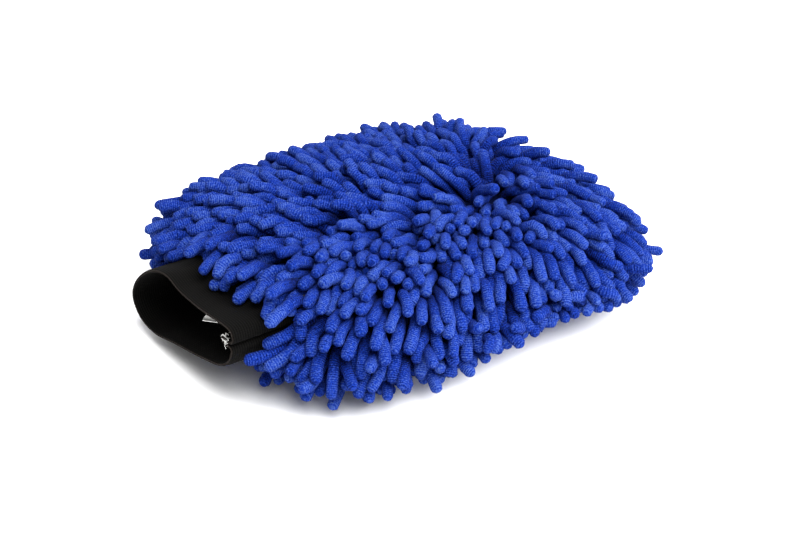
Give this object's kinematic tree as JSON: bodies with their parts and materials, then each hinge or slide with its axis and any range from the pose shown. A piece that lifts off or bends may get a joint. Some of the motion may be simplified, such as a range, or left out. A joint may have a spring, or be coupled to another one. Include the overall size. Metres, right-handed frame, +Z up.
{
  "type": "wash mitt",
  "caption": "Soft wash mitt: a padded hand pouch covered all over in chenille noodles, with a ribbed elastic wrist cuff open at one end.",
  "frame": {"origin": "bottom centre of the mitt's box, on the surface it lies on palm down", "axes": "+X from the cuff to the fingertips, +Y across the hand to the left of the fingertips, +Z up from the palm side to the top side"},
  "size_m": [0.256, 0.218, 0.073],
  "materials": {
    "chenille_pile": "royal blue velvety microfibre chenille with fine rings round each noodle",
    "backing_cloth": "dark knitted backing cloth",
    "foam": "open cell foam padding",
    "lining": "matt black knitted mesh",
    "seam_thread": "matt dark overlock stitching and tape",
    "elastic": "matt black ribbed elastic",
    "overlock_thread": "off-white spun thread",
    "label_satin": "plain off-white satin"
  },
  "bodies": {
    "mitt": {"top_noodle_row_01": "chenille_pile", "top_noodle_row_02": "chenille_pile", "top_noodle_row_03": "chenille_pile", "top_noodle_row_04": "chenille_pile", "top_noodle_row_05": "chenille_pile", "top_noodle_row_06": "chenille_pile", "top_noodle_row_07": "chenille_pile", "top_noodle_row_08": "chenille_pile", "top_noodle_row_09": "chenille_pile", "top_noodle_row_10": "chenille_pile", "top_noodle_row_11": "chenille_pile", "top_noodle_row_12": "chenille_pile", "top_noodle_row_13": "chenille_pile", "top_noodle_row_14": "chenille_pile", "palm_noodle_row_01": "chenille_pile", "palm_noodle_row_02": "chenille_pile", "palm_noodle_row_03": "chenille_pile", "palm_noodle_row_04": "chenille_pile", "palm_noodle_row_05": "chenille_pile", "palm_noodle_row_06": "chenille_pile", "palm_noodle_row_07": "chenille_pile", "palm_noodle_row_08": "chenille_pile", "palm_noodle_row_09": "chenille_pile", "palm_noodle_row_10": "chenille_pile", "palm_noodle_row_11": "chenille_pile", "palm_noodle_row_12": "chenille_pile", "palm_noodle_row_13": "chenille_pile", "palm_noodle_row_14": "chenille_pile", "tip_noodle_tuft_1": "chenille_pile", "tip_noodle_tuft_2": "chenille_pile", "tip_noodle_tuft_3": "chenille_pile", "tip_noodle_tuft_4": "chenille_pile", "tip_noodle_tuft_5": "chenille_pile", "tip_noodle_tuft_6": "chenille_pile", "wrist_noodle_tuft_left": "chenille_pile", "wrist_noodle_tuft_right": "chenille_pile", "top_backing_cloth": "backing_cloth", "palm_backing_cloth": "backing_cloth", "top_foam_pad": "foam", "palm_foam_pad": "foam", "top_lining": "lining", "palm_lining": "lining", "side_seam_allowance": "seam_thread", "side_overlock_thread": "seam_thread", "wrist_seam_tape": "seam_thread"},
    "cuff": {"cuff_elastic": "elastic", "cuff_overlock_thread": "overlock_thread"},
    "label": {"care_label": "label_satin"}
  },
  "joints": [
    {"name": "cuff_tilt", "type": "hinge", "parent": "mitt", "child": "cuff", "pos_m": [-0.089, 0, 0.031], "axis": [0, 1, 0], "range_deg": [-10, 20], "stiffness_Nm_per_rad": 0.3},
    {"name": "label_flap", "type": "hinge", "parent": "cuff", "child": "label", "pos_m": [-0.089, -0.037, 0.0447], "axis": [0, 1, 0], "range_deg": [-25, 0], "stiffness_Nm_per_rad": 0.004}
  ]
}
